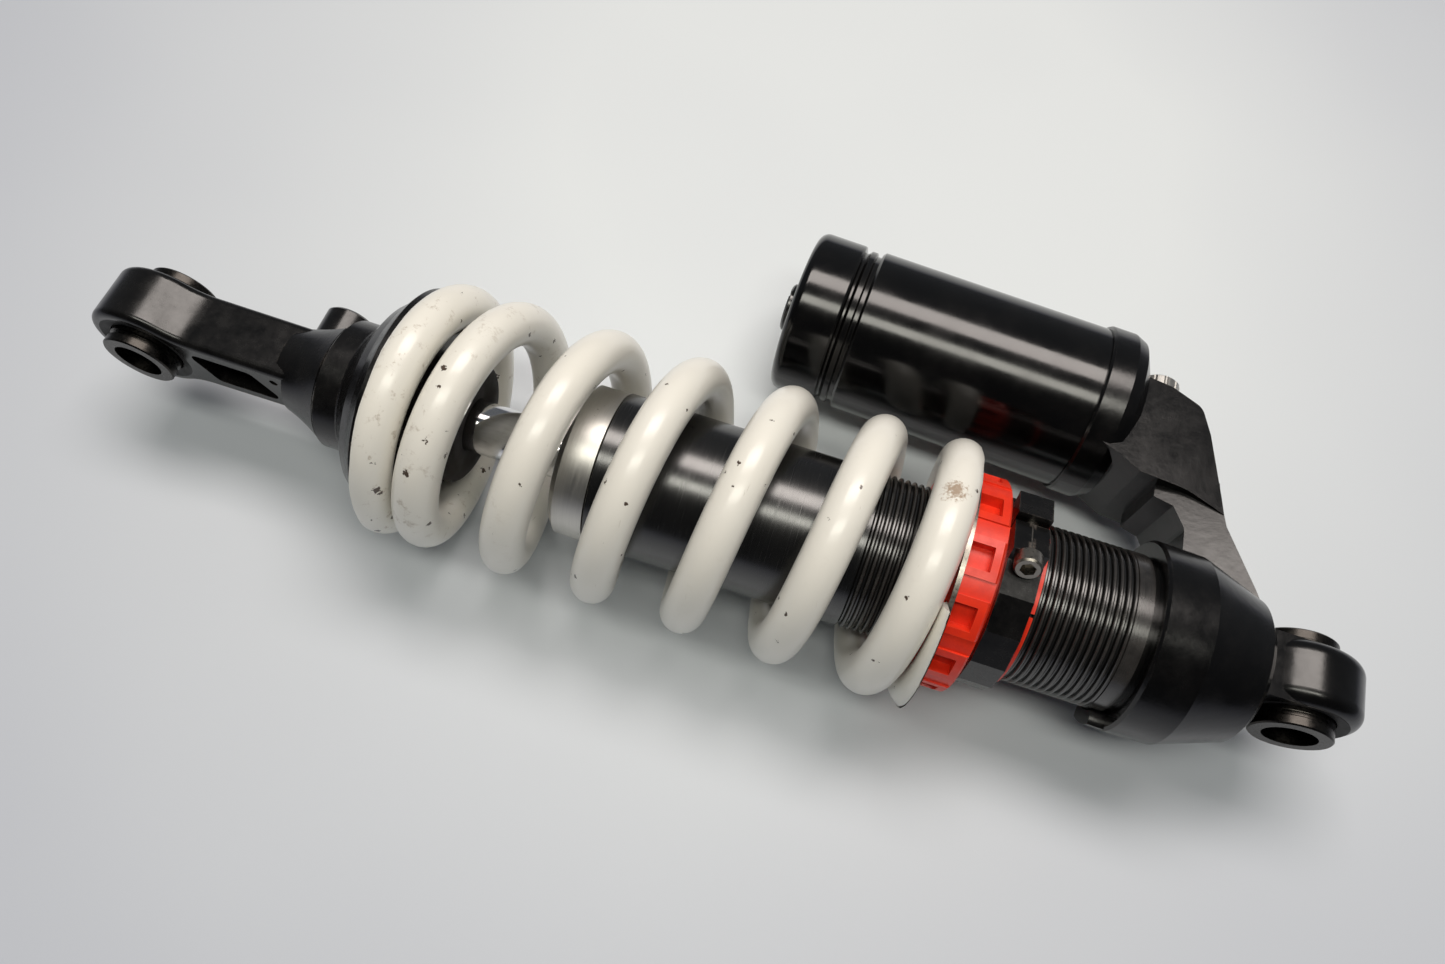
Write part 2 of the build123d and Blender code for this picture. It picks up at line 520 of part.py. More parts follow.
def wire_points():
    """Centre line of the left-hand coil from its head end, a point every twelfth of a turn."""
    turns = PITCH_PLAN[0][0]
    x = WIRE_START_X
    steps = round((PITCH_PLAN[-1][0] - turns) * STEPS_PER_TURN)
    points = []
    for step in range(steps + 1):
        if step % (STEPS_PER_TURN // POINTS_PER_TURN) == 0 or step == steps:
            points.append(radial_point(COIL_RADIUS, 90 + 360 * turns, x))
        x -= pitch_at(turns + 0.5 / STEPS_PER_TURN) / STEPS_PER_TURN
        turns += 1 / STEPS_PER_TURN
    return points


with BuildPart() as spring:
    with BuildLine() as wire:
        Spline(*wire_points())
    with BuildSketch(Plane(origin=wire.line @ 0, z_dir=wire.line % 0)):
        Circle(WIRE_RADIUS)
    sweep()
    split(bisect_by=Plane(origin=(SPRING_RIGHT_X, 0, 0), z_dir=(1, 0, 0)), keep=Keep.BOTTOM)
    split(bisect_by=Plane(origin=(SPRING_LEFT_X, 0, 0), z_dir=(1, 0, 0)), keep=Keep.TOP)
finish(spring, "spring")

RING_RADIUS = 31.7
LAND_RADIUS = 31.1
HUB_RADIUS = 26.2
HUB_START_X = -111.0
WASHER_END_X = SPRING_RIGHT_X + 1.3
POCKET_COUNT = 12
FIRST_POCKET = 9.0
THREAD_FIT_RADIUS = TUBE_RADIUS + FIT
SLEEVE_RADIUS = 24.8

with BuildPart() as thrust_washer:
    tube_between(SPRING_RIGHT_X, WASHER_END_X, RING_RADIUS + 0.2, HUB_RADIUS + 0.1)
finish(thrust_washer, "thrust_washer")


def ring_sector(inner, outer, middle, spread, start_x, end_x):
    """Cut an arc-shaped recess in a ring about the damper axis."""
    with BuildSketch(Plane.YZ.offset(start_x)) as recess:
        with BuildLine():
            CenterArc((0, 0), outer, middle - spread / 2, spread)
            CenterArc((0, 0), inner, middle - spread / 2, spread)
            for edge in (middle - spread / 2, middle + spread / 2):
                Line(radial_point(inner, edge)[1:], radial_point(outer, edge)[1:])
        make_face()
    extrude(recess.sketch, amount=end_x - start_x, mode=Mode.SUBTRACT)


with BuildPart() as preload_ring:
    turned([(HUB_START_X, THREAD_FIT_RADIUS), (HUB_START_X, HUB_RADIUS - 0.6),
            (HUB_START_X + 0.6, HUB_RADIUS), (WASHER_END_X, HUB_RADIUS), (WASHER_END_X, RING_RADIUS),
            (RING_END_X - 0.6, RING_RADIUS), (RING_END_X, RING_RADIUS - 0.6), (RING_END_X, SLEEVE_RADIUS),
            (SLEEVE_END_X, SLEEVE_RADIUS), (SLEEVE_END_X, THREAD_FIT_RADIUS)])
    for pocket_index in range(POCKET_COUNT):
        pocket_angle = FIRST_POCKET + 360 / POCKET_COUNT * pocket_index
        ring_sector(LAND_RADIUS - 2.8, 40, pocket_angle, 12.5, WASHER_END_X, RING_END_X - 2.6)
        ring_sector(LAND_RADIUS, 40, pocket_angle + 15, 9.5, WASHER_END_X, RING_END_X)
    for slit_angle in (30, 120, 210, 300):
        ring_sector(20, 30, slit_angle, 2.6, COLLAR_START_X + 1, SLEEVE_END_X)
finish(preload_ring, "preload_ring")

SCREW_ANGLE = 67.5
SCREW_OFFSET = 27.0
SCREW_X = (COLLAR_START_X + COLLAR_END_X) / 2
SCREW_RADIUS = 1.95
SCREW_HEAD_RADIUS = 3.7
EAR_START = -9.0
EAR_END = 11.6
SCREW_END = EAR_END + 4.4
CLAMP_GAP = 1.0
COLLAR_INNER_FACE = 24.0
FAR_EAR_HEIGHT = 31.2
NEAR_EAR_HEIGHT = 29.0
screw_way = Vector(0, cos(radians(SCREW_ANGLE + 90)), sin(radians(SCREW_ANGLE + 90)))
screw_middle = Vector(*radial_point(SCREW_OFFSET, SCREW_ANGLE, SCREW_X))
SCREW = Plane(origin=screw_middle, x_dir=screw_way, z_dir=(1, 0, 0))

collar_plane = Plane(origin=(COLLAR_START_X, 0, 0), x_dir=screw_way, z_dir=(1, 0, 0))
collar_width = COLLAR_END_X - COLLAR_START_X

with BuildPart() as clamp_collar:
    with BuildSketch(Plane.YZ.offset(COLLAR_START_X)):
        RegularPolygon(radius=27.6, side_count=16)
    extrude(amount=collar_width)
    # Clamp ears on either side of the slit: the one behind the screw's tip stands higher
    for start, end, height in ((EAR_START, 0, FAR_EAR_HEIGHT), (0, EAR_END, NEAR_EAR_HEIGHT)):
        with BuildSketch(collar_plane) as ear:
            with Locations(((start + end) / 2, -(COLLAR_INNER_FACE + height) / 2)):
                Rectangle(end - start, height - COLLAR_INNER_FACE)
        extrude(ear.sketch, amount=collar_width)
    tube_between(COLLAR_START_X - 1, COLLAR_END_X + 1, SLEEVE_RADIUS, 0, mode=Mode.SUBTRACT)
    with BuildSketch(collar_plane) as gap:
        with Locations((0, -SCREW_OFFSET)):
            Rectangle(CLAMP_GAP, 12.0)
    extrude(gap.sketch, amount=collar_width, mode=Mode.SUBTRACT)
    tube_between(EAR_START - 5, EAR_END + 10, SCREW_RADIUS + 0.06, 0, SCREW, Mode.SUBTRACT)
    tube_between(EAR_END, EAR_END + 12, SCREW_HEAD_RADIUS + 0.5, 0, SCREW, Mode.SUBTRACT)
finish(clamp_collar, "clamp_collar")

with BuildPart() as clamp_screw:
    turned([(EAR_START + 1, 0), (EAR_START + 1, SCREW_RADIUS), (EAR_END, SCREW_RADIUS),
            (EAR_END, SCREW_HEAD_RADIUS), (SCREW_END - 0.5, SCREW_HEAD_RADIUS),
            (SCREW_END, SCREW_HEAD_RADIUS - 0.5), (SCREW_END, 0)], SCREW)
    with BuildSketch(Plane(origin=screw_middle + screw_way * SCREW_END, z_dir=screw_way)) as hexagon:
        RegularPolygon(radius=1.9, side_count=6, major_radius=False)
    extrude(hexagon.sketch, amount=-2.6, mode=Mode.SUBTRACT)
finish(clamp_screw, "clamp_screw")

# ---------------------------------------------------------------- the bearing in each eye

CIRCLIP_THICKNESS = 1.1
SEAL_START = 7.7


def eye_bearing(end, x, neck_radius):
    """Spherical bearing of one eye: race, ball, two circlips, two seals and two flanged collars."""
    plane = eye_plane(x)
    ball_ring = sqrt(BALL_RADIUS ** 2 - BALL_HALF_WIDTH ** 2)
    with BuildPart() as race:
        tube_between(-RACE_HALF_WIDTH, RACE_HALF_WIDTH, RACE_RADIUS, 0, plane)
        with Locations((x, 0, 0)):
            Sphere(BALL_RADIUS + FIT, mode=Mode.SUBTRACT)
    finish(race, f"{end}_bearing_race")

    with BuildPart() as ball:
        with BuildSketch(plane) as half:
            with BuildLine():
                tip = degrees(atan2(ball_ring, BALL_HALF_WIDTH))
                CenterArc((0, 0), BALL_RADIUS, tip, 180 - 2 * tip)
                Polyline((-BALL_HALF_WIDTH, ball_ring), (-BALL_HALF_WIDTH, BALL_BORE),
                         (BALL_HALF_WIDTH, BALL_BORE), (BALL_HALF_WIDTH, ball_ring))
            make_face()
        revolve(half.sketch, axis=Axis(plane.origin, plane.x_dir))
    finish(ball, f"{end}_bearing_ball")

    with BuildPart() as circlips:
        for side in (-1, 1):
            inner_face = side * (RACE_HALF_WIDTH + 0.02)
            tube_between(inner_face, inner_face + side * CIRCLIP_THICKNESS, RACE_RADIUS, 12.2, plane)
    finish(circlips, f"{end}_bearing_circlips")

    with BuildPart() as seals:
        for side in (-1, 1):
            turned([(side * SEAL_START, 11.2), (side * SEAL_START, RACE_RADIUS),
                    (side * BARREL_HALF_WIDTH, RACE_RADIUS), (side * (BARREL_HALF_WIDTH - 0.6), 11.0)],
                   plane)
    finish(seals, f"{end}_eye_seals")

    with BuildPart() as collars:
        for side in (-1, 1):
            stations = ((0.4, BOLT_RADIUS), (0.4, BALL_BORE), (BALL_HALF_WIDTH, BALL_BORE),
                        (BALL_HALF_WIDTH, COLLAR_RADIUS), (9.8, COLLAR_RADIUS), (10.0, neck_radius),
                        (11.2, neck_radius), (11.4, COLLAR_RADIUS), (EYE_WIDTH / 2 - 0.4, COLLAR_RADIUS),
                        (EYE_WIDTH / 2, COLLAR_RADIUS - 0.4), (EYE_WIDTH / 2, BOLT_RADIUS))
            turned([(side * along, radius) for along, radius in stations], plane)
    finish(collars, f"{end}_eye_collars")


eye_bearing("head", 0.0, COLLAR_RADIUS - 0.05)
eye_bearing("rod", ROD_EYE_X, COLLAR_RADIUS - 0.9)
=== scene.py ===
"""Looks of the coil-over rear shock: materials, coils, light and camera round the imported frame."""
import json
import math
import bmesh
import bpy
from mathutils import Matrix, Vector
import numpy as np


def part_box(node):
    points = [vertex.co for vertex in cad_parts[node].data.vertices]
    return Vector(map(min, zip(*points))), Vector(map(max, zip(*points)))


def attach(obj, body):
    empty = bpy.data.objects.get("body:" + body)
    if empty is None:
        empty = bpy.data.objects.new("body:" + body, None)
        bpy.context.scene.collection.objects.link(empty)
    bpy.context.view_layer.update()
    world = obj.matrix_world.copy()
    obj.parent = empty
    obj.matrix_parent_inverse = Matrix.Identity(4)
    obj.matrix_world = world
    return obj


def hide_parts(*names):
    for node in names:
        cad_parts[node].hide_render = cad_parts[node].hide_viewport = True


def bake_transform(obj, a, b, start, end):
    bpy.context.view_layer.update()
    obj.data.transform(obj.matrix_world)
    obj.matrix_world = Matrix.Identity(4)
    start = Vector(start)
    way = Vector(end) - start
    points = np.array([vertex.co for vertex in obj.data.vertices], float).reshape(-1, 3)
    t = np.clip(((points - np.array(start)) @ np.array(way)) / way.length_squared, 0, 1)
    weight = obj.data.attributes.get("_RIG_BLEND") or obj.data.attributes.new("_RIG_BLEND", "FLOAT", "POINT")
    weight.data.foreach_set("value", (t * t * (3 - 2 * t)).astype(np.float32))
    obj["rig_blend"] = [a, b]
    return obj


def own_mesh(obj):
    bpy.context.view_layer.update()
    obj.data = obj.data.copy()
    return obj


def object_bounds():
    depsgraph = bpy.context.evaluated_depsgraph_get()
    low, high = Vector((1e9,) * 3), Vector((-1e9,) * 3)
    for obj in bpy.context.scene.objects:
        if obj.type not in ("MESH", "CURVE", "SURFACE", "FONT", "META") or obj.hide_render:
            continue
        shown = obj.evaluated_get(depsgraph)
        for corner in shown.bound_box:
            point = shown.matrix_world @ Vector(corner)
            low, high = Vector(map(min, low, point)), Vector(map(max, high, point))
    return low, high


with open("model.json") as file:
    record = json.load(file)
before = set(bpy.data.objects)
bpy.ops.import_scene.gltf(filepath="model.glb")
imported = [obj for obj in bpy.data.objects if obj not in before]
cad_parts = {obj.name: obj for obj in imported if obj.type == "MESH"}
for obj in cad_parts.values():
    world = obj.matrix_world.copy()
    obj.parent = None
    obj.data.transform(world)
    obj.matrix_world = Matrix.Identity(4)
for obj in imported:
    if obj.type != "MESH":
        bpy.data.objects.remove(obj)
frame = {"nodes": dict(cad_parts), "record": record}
cad_low, cad_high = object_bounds()

MM = 0.001
NODES = frame["nodes"]


# ---------------------------------------------------------------- shader helpers

# Cosine between the true and the rounded normal where an edge begins to show, and shows in full
EDGE_BEGINS = 0.985
EDGE_IN_FULL = 0.90


class Shader:
    """One procedural material. Its textures read object coordinates, the frame's own metres."""

    def __init__(self, name, **values):
        self.material = bpy.data.materials.new(name)
        self.material.use_nodes = True
        self.tree = self.material.node_tree
        self.bsdf = self.tree.nodes["Principled BSDF"]
        self.place = self.add("ShaderNodeTexCoord").outputs["Object"]
        self.set(**values)

    def add(self, kind, **values):
        node = self.tree.nodes.new(kind)
        for key, value in values.items():
            setattr(node, key, value)
        return node

    def put(self, socket, value):
        """Link a node's output to a socket, or write a plain value on it."""
        if isinstance(value, bpy.types.NodeSocket):
            self.tree.links.new(value, socket)
        else:
            socket.default_value = value

    def set(self, **values):
        """Set the main shader's sockets, such as base_color or roughness."""
        for key, value in values.items():
            name = key.replace("_", " ").title().replace("Ior", "IOR")
            if name == "Base Color" and not isinstance(value, bpy.types.NodeSocket):
                value = (*value, 1)
            self.put(self.bsdf.inputs[name], value)

    def math(self, kind, a, b=0.0, clamp=False):
        node = self.add("ShaderNodeMath", operation=kind, use_clamp=clamp)
        self.put(node.inputs[0], a)
        self.put(node.inputs[1], b)
        return node.outputs[0]

    def stretched(self, factors):
        """Object coordinates scaled by three factors, for grain that runs one way."""
        node = self.add("ShaderNodeMapping")
        self.put(node.inputs["Vector"], self.place)
        node.inputs["Scale"].default_value = factors
        return node.outputs[0]

    def noise(self, size, detail=4, rough=0.55, place=None, distortion=0.0):
        """Noise whose blobs are about size metres across."""
        node = self.add("ShaderNodeTexNoise")
        self.put(node.inputs["Vector"], place or self.place)
        node.inputs["Scale"].default_value = 1 / size
        node.inputs["Detail"].default_value = detail
        node.inputs["Roughness"].default_value = rough
        node.inputs["Distortion"].default_value = distortion
        return node.outputs["Fac"]

    def cells(self, size):
        """Distance to the nearest point of a random scatter, spaced about size metres."""
        node = self.add("ShaderNodeTexVoronoi")
        self.put(node.inputs["Vector"], self.place)
        node.inputs["Scale"].default_value = 1 / size
        return node.outputs["Distance"]

    def band(self, value, low, high, out_low=0.0, out_high=1.0):
        """Map low..high to out_low..out_high, clamped."""
        node = self.add("ShaderNodeMapRange")
        for socket, number in zip(node.inputs[:5], (value, low, high, out_low, out_high)):
            self.put(socket, number)
        return node.outputs[0]

    def mix(self, share, a, b):
        """Mix two colours; each is a colour or an output."""
        node = self.add("ShaderNodeMix", data_type="RGBA")
        self.put(node.inputs["Factor"], share)
        for socket, value in ((node.inputs[6], a), (node.inputs[7], b)):
            self.put(socket, value if isinstance(value, bpy.types.NodeSocket) else (*value, 1))
        return node.outputs[2]

    def axis(self, index):
        """One of the object coordinates: 0 for X, 1 for Y, 2 for Z."""
        node = self.add("ShaderNodeSeparateXYZ")
        self.put(node.inputs[0], self.place)
        return node.outputs[index]

    def damper_radius(self):
        """Distance from the damper's axis."""
        y_squared = self.math("MULTIPLY", self.axis(1), self.axis(1))
        z_squared = self.math("MULTIPLY", self.axis(2), self.axis(2))
        return self.math("SQRT", self.math("ADD", y_squared, z_squared))

    def edges(self, radius):
        """1 along convex and concave edges, fading over about radius metres."""
        rounded = self.add("ShaderNodeBevel", samples=4)
        rounded.inputs["Radius"].default_value = radius
        flat = self.add("ShaderNodeNewGeometry")
        dot = self.add("ShaderNodeVectorMath", operation="DOT_PRODUCT")
        self.put(dot.inputs[0], rounded.outputs[0])
        self.put(dot.inputs[1], flat.outputs["Normal"])
        return self.band(dot.outputs["Value"], EDGE_BEGINS, EDGE_IN_FULL)

    def bump(self, *layers):
        """Bump from (height output, depth in metres) layers, one on the next."""
        below = None
        for height, depth in layers:
            node = self.add("ShaderNodeBump")
            node.inputs["Distance"].default_value = depth
            self.put(node.inputs["Height"], height)
            if below:
                self.put(node.inputs["Normal"], below)
            below = node.outputs[0]
        self.put(self.bsdf.inputs["Normal"], below)


def turning_marks(shader):
    """Fine rings left by a lathe, as noise that changes only along the damper's axis."""
    return shader.noise(0.25 * MM, detail=6, rough=0.7, place=shader.stretched((1, 0.02, 0.02)))


# ---------------------------------------------------------------- materials

TUBE_RADIUS = 23.2 * MM
THREAD_START_X = -126 * MM
DIRT_BEGINS_X = -215 * MM
DIRT_IN_FULL_X = -262 * MM
RUB_MARK = (-0.1099, 0.0072, 0.0388)
RUB_RADIUS = 3.2 * MM


def cast_black():
    """Gloss black coat over a cast head: slight orange peel, dust and thin wear on the edges."""
    shader = Shader("cast_black", specular_ior_level=0.5)
    peel = shader.noise(2.2 * MM, detail=2)
    dust = shader.noise(9 * MM, detail=8, rough=0.7)
    patchy = shader.band(shader.noise(3 * MM), 0.5, 0.72)
    wear = shader.math("MULTIPLY", shader.edges(0.5 * MM), patchy, clamp=True)
    dusty = shader.band(dust, 0.45, 0.75)
    black = shader.mix(dusty, (0.0016, 0.0015, 0.0016), (0.0045, 0.004, 0.004))
    shader.set(base_color=shader.mix(wear, black, (0.060, 0.056, 0.052)),
               roughness=shader.band(dust, 0.3, 0.75, 0.16, 0.30))
    shader.bump((peel, 0.03 * MM), (shader.noise(0.35 * MM, detail=3), 0.004 * MM))
    return shader.material


def reservoir_black():
    """Gloss black anodising on a turned tube and cap."""
    shader = Shader("reservoir_black", specular_ior_level=0.55)
    smudge = shader.noise(14 * MM, detail=6, rough=0.65)
    scratch = shader.noise(0.5 * MM, detail=5, place=shader.stretched((1, 0.06, 0.1)))
    wear = shader.math("MULTIPLY", shader.edges(0.4 * MM), 0.4)
    smudged = shader.band(smudge, 0.45, 0.7)
    black = shader.mix(smudged, (0.0014, 0.0013, 0.0014), (0.0035, 0.0031, 0.003))
    shader.set(base_color=shader.mix(wear, black, (0.04, 0.038, 0.036)),
               roughness=shader.band(smudge, 0.3, 0.75, 0.11, 0.21))
    shader.bump((scratch, 0.003 * MM), (shader.noise(3.0 * MM, detail=2), 0.008 * MM))
    return shader.material


def tube_black():
    """Black hard anodising, lighter on the crests of the thread: partly worn through, partly a painted
    highlight.
    """
    shader = Shader("tube_black", specular_ior_level=1.0)
    # Lighter crests: partly worn anodising, partly a highlight painted along the thread's ridges
    worn_and_highlit_crest = shader.band(shader.damper_radius(), TUBE_RADIUS - 0.45 * MM, TUBE_RADIUS - 0.05 * MM)
    thread = shader.band(shader.axis(0), THREAD_START_X - 0.5 * MM, THREAD_START_X + 0.5 * MM)
    patchy = shader.band(shader.noise(4 * MM), 0.3, 0.65, 0.35, 1.0)
    lightened = shader.math("MULTIPLY", shader.math("MULTIPLY", worn_and_highlit_crest, thread), patchy)
    marks = turning_marks(shader)
    shader.set(base_color=shader.mix(lightened, (0.0035, 0.0033, 0.0031), (0.035, 0.032, 0.030)),
               roughness=shader.band(marks, 0.3, 0.7, 0.18, 0.29))
    shader.bump((marks, 0.003 * MM))
    return shader.material


def arm_black():
    """Satin black anodising on a machined arm, worn through to warm grey along its edges."""
    shader = Shader("arm_black", specular_ior_level=0.5)
    patches = shader.noise(6 * MM, detail=8, rough=0.7)
    patchy = shader.band(patches, 0.48, 0.66)
    wear = shader.math("MULTIPLY", shader.edges(0.6 * MM), patchy, clamp=True)
    streaks = shader.noise(1.2 * MM, detail=8, rough=0.8, place=shader.stretched((0.4, 1, 1)))
    scuffs = shader.band(streaks, 0.68, 0.78)
    dulled = shader.band(patches, 0.35, 0.7)
    black = shader.mix(dulled, (0.0020, 0.0019, 0.0020), (0.006, 0.0055, 0.0052))
    black = shader.mix(shader.math("MULTIPLY", scuffs, 0.3), black, (0.07, 0.06, 0.055))
    shader.set(base_color=shader.mix(wear, black, (0.11, 0.095, 0.084)),
               roughness=shader.band(patches, 0.3, 0.7, 0.17, 0.32))
    shader.bump((shader.noise(0.5 * MM, detail=4), 0.005 * MM))
    return shader.material


def smear(shader):
    """1 inside the rusty rub mark on the last coil at the head end, broken up at its rim."""
    offset = shader.add("ShaderNodeVectorMath", operation="DISTANCE")
    shader.put(offset.inputs[0], shader.place)
    offset.inputs[1].default_value = RUB_MARK
    patches = shader.noise(1.3 * MM, detail=8, rough=0.8)
    ragged = shader.band(patches, 0.3, 0.7, -RUB_RADIUS, RUB_RADIUS)
    reach = shader.math("ADD", offset.outputs["Value"], ragged)
    return shader.band(reach, RUB_RADIUS, RUB_RADIUS / 2, 0.0, 0.75)


def spring_cream():
    """Glossy cream powder coat with chips, scuffs and brown dirt, most of it near the rod end."""
    shader = Shader("spring_cream", specular_ior_level=0.5, coat_weight=0.25, coat_roughness=0.16)
    peel = shader.noise(1.8 * MM, detail=2)
    rod_end = shader.band(shader.axis(0), DIRT_BEGINS_X, DIRT_IN_FULL_X)
    ragged = shader.band(shader.noise(0.8 * MM, detail=5), 0.3, 0.7, -0.07, 0.07)
    speck_shape = shader.math("ADD", shader.cells(7.5 * MM), ragged)
    reach = shader.band(rod_end, 0.0, 1.0, 0.07, 0.14)
    specks = shader.math("LESS_THAN", speck_shape, reach)
    grime = shader.band(shader.noise(5 * MM, detail=9, rough=0.75), 0.57, 0.70)
    grime = shader.math("MULTIPLY", grime, shader.band(rod_end, 0.0, 1.0, 0.05, 0.85))
    tint = shader.mix(shader.noise(22 * MM, detail=3), (0.88, 0.855, 0.775), (0.90, 0.885, 0.825))
    dirty = shader.mix(grime, tint, (0.33, 0.25, 0.17))
    along = shader.stretched((1, 0.12, 0.12))
    hairlines = shader.noise(1.0 * MM, detail=3, place=along, distortion=0.4)
    scuffs = shader.math("MULTIPLY", shader.band(hairlines, 0.73, 0.78), 0.45)
    dirty = shader.mix(scuffs, dirty, (0.42, 0.36, 0.28))
    dirty = shader.mix(smear(shader), dirty, (0.30, 0.17, 0.08))
    shader.set(base_color=shader.mix(specks, dirty, (0.085, 0.06, 0.045)),
               roughness=shader.band(grime, 0.0, 0.6, 0.28, 0.55))
    shader.bump((peel, 0.03 * MM), (shader.math("MULTIPLY", specks, -1.0), 0.12 * MM))
    return shader.material


def red_anodised():
    """Bright red anodising with paler worn edges and darker patches of dirt here and there."""
    shader = Shader("red_anodised", specular_ior_level=0.45)
    soil = shader.noise(3.5 * MM, detail=7, rough=0.7)
    red = shader.mix(shader.band(soil, 0.35, 0.72), (0.86, 0.038, 0.010), (0.70, 0.024, 0.008))
    lightened = shader.math("MULTIPLY", shader.edges(0.3 * MM), 0.35)
    shader.set(base_color=shader.mix(lightened, red, (0.95, 0.13, 0.06)),
               roughness=shader.band(soil, 0.3, 0.7, 0.28, 0.42))
    shader.bump((shader.noise(0.4 * MM, detail=4), 0.01 * MM))
    return shader.material


def bare_aluminium():
    """Lathe-turned aluminium with fine rings and small dark specks."""
    shader = Shader("bare_aluminium", metallic=1.0)
    marks = turning_marks(shader)
    specks = shader.math("LESS_THAN", shader.cells(3.2 * MM), 0.05)
    grey = shader.mix(marks, (0.46, 0.45, 0.425), (0.66, 0.645, 0.61))
    shader.set(base_color=shader.mix(specks, grey, (0.16, 0.15, 0.14)),
               roughness=shader.band(marks, 0.25, 0.75, 0.31, 0.48))
    shader.bump((marks, 0.003 * MM))
    return shader.material


def rod_chrome():
    """Polished hard chrome with faint lengthwise streaks."""
    shader = Shader("rod_chrome", metallic=1.0)
    streaks = shader.noise(0.6 * MM, detail=5, place=shader.stretched((0.08, 1, 1)))
    shader.set(base_color=shader.mix(streaks, (0.66, 0.66, 0.67), (0.80, 0.80, 0.81)),
               roughness=shader.band(streaks, 0.3, 0.7, 0.05, 0.12))
    shader.bump((streaks, 0.002 * MM))
    return shader.material


def steel(name, dark, light, rough_low, rough_high, grain):
    """Ground, plain, blackened or blued steel, or bronze: two shades and a fine grain."""
    shader = Shader(name, metallic=1.0)
    marks = shader.noise(grain * MM, detail=7, rough=0.65)
    shader.set(base_color=shader.mix(marks, dark, light),
               roughness=shader.band(marks, 0.3, 0.7, rough_low, rough_high))
    shader.bump((marks, 0.006 * MM))
    return shader.material


def rubbery(name, dark, light, rough, pores):
    """Rubber, foam or filled plastic: matt, mottled and finely pored."""
    shader = Shader(name, specular_ior_level=0.35)
    mottle = shader.noise(4 * MM, detail=6)
    grain = shader.noise(pores * MM, detail=6, rough=0.7)
    shader.set(base_color=shader.mix(mottle, dark, light),
               roughness=shader.band(mottle, 0.3, 0.7, rough, rough + 0.15))
    shader.bump((grain, 0.05 * MM))
    return shader.material


# Dark and light grey, lowest and highest roughness, and the size of the grain in millimetres
STEELS = {
    "bearing_steel": ((0.30, 0.30, 0.31), (0.48, 0.48, 0.49), 0.16, 0.28, 0.4),
    "plain_steel": ((0.20, 0.18, 0.155), (0.46, 0.43, 0.38), 0.24, 0.42, 0.7),
    "collar_black": ((0.020, 0.019, 0.018), (0.06, 0.055, 0.05), 0.22, 0.38, 0.9),
    "spring_steel": ((0.14, 0.16, 0.22), (0.26, 0.28, 0.34), 0.18, 0.30, 1.5),
    "bronze": ((0.40, 0.27, 0.12), (0.58, 0.42, 0.22), 0.25, 0.40, 0.6),
}

# Dark and light colour, lowest roughness, and the size of the pores in millimetres
RUBBERS = {
    "seal_rubber": ((0.010, 0.010, 0.010), (0.022, 0.022, 0.022), 0.50, 0.3),
    "bump_foam": ((0.005, 0.0034, 0.0028), (0.015, 0.0095, 0.007), 0.60, 0.7),
    "band_polymer": ((0.10, 0.07, 0.05), (0.18, 0.13, 0.10), 0.45, 0.4),
}

MATERIALS = {
    "cast_black": cast_black(),
    "arm_black": arm_black(),
    "tube_black": tube_black(),
    "reservoir_black": reservoir_black(),
    "bare_aluminium": bare_aluminium(),
    "red_anodised": red_anodised(),
    "spring_cream": spring_cream(),
    "rod_chrome": rod_chrome(),
}
for steel_name, steel_look in STEELS.items():
    MATERIALS[steel_name] = steel(steel_name, *steel_look)
for rubber_name, rubber_look in RUBBERS.items():
    MATERIALS[rubber_name] = rubbery(rubber_name, *rubber_look)


def paint(obj, slot):
    """Give an object one material."""
    obj.data.materials.clear()
    obj.data.materials.append(MATERIALS[slot])


FINISH = {entry["node"]: entry["material_slot"] for entry in frame["record"]["subparts"]}
for node_name, node in NODES.items():
    paint(node, FINISH[node_name])


# ---------------------------------------------------------------- rounded edges

# Width of the bevel along a node's sharp edges, in millimetres
ROUNDED = {
    "head_casting": 0.9,
    "rod_clevis": 0.45,
    "spring_seat": 0.3,
    "preload_ring": 0.18,
    "clamp_collar": 0.25,
    "reservoir_end_cap": 0.2,
    "seal_head": 0.2,
}


def round_edges(node, width):
    """A small bevel along the node's sharp edges."""
    bevel = node.modifiers.new("rounded", "BEVEL")
    bevel.width = width * MM
    bevel.segments = 3
    bevel.limit_method = "ANGLE"
    bevel.angle_limit = math.radians(32)


for rounded_name, rounded_width in ROUNDED.items():
    round_edges(NODES[rounded_name], rounded_width)


# ---------------------------------------------------------------- the coil spring

COIL_RADIUS = 33.2 * MM
WIRE_RADIUS = 6.4 * MM
# Pitch in millimetres a turn against turns from the head end: closed ends and an even middle
PITCH_PLAN = ((0.1, 11.4), (0.7, 11.4), (1.5, 27.5), (5.9, 27.5), (6.5, 12.9), (7.75, 12.9))
FIRST_COIL_X = -97.8 * MM
SPLIT_TURN = 2.2
RINGS_PER_TURN = 72
WIRE_SIDES = 32

spring_low, spring_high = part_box("spring")


def pitch_at(turns):
    """Pitch of the wire after this many turns, in straight steps between the planned values."""
    for (start, start_pitch), (end, end_pitch) in zip(PITCH_PLAN, PITCH_PLAN[1:]):
        if turns <= end:
            return (start_pitch + (end_pitch - start_pitch) * (turns - start) / (end - start)) * MM
    return PITCH_PLAN[-1][1] * MM


def coil_line():
    """(turns, centre, direction) along the wire's centre line, from the head end."""
    turns = PITCH_PLAN[0][0]
    x = FIRST_COIL_X
    line = []
    while turns <= PITCH_PLAN[-1][0] + 1e-6:
        angle = math.radians(90 + 360 * turns)
        centre = Vector((x, COIL_RADIUS * math.cos(angle), COIL_RADIUS * math.sin(angle)))
        along = Vector((-pitch_at(turns), -2 * math.pi * centre.z, 2 * math.pi * centre.y))
        line.append((turns, centre, along.normalized()))
        x -= pitch_at(turns + 0.5 / RINGS_PER_TURN) / RINGS_PER_TURN
        turns += 1 / RINGS_PER_TURN
    return line


